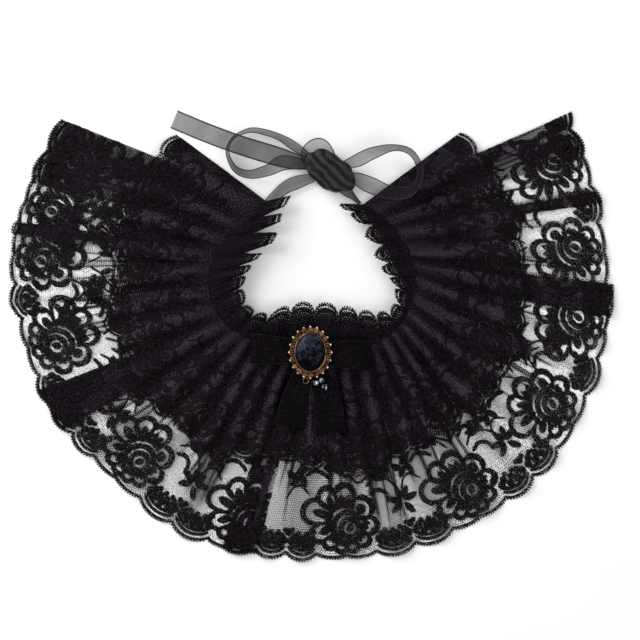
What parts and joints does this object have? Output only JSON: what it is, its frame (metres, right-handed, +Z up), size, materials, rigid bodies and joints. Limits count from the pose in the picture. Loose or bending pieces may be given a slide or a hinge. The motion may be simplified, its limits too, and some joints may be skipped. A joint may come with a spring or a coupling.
{
  "type": "two-tier gathered lace collar with ribbon tie, bow and brooch",
  "caption": "Black lace collar laid flat: gathered flounces round an open neck, a pleated neck frill, a knotted sheer tie at the back, and a velvet bow with an oval brooch in front.",
  "frame": {"origin": "middle of the collar's bounding box, on the surface that it rests on", "axes": "+X along the collar's widest span, to the right in the picture; +Y towards the back opening and its tie; +Z up, out of the surface"},
  "size_m": [0.527, 0.3928, 0.0265],
  "materials": {
    "black_lace": "matte",
    "frill_lace": "matte",
    "organza": "sheer",
    "velvet": "soft pile",
    "antique_bronze": "aged",
    "black_crystal": "polished"
  },
  "bodies": {
    "root": {"lower_flounce": "black_lace", "upper_flounce": "black_lace", "neck_frill": "frill_lace", "tie_knot": "organza", "tie_tail_left": "organza", "tie_loop_left": "organza", "tie_loop_right": "organza", "tie_strap_left": "organza", "tie_strap_right": "organza", "tie_tuft": "organza", "bow_knot": "velvet", "bow_loop_left": "velvet", "bow_loop_right": "velvet", "bow_tail_left": "velvet", "bow_tail_right": "velvet", "brooch_frame": "antique_bronze", "brooch_stone": "black_crystal", "drop_ring": "antique_bronze", "drop_bead_1": "black_crystal", "drop_bead_2": "black_crystal", "drop_bead_3": "black_crystal"}
  },
  "joints": []
}
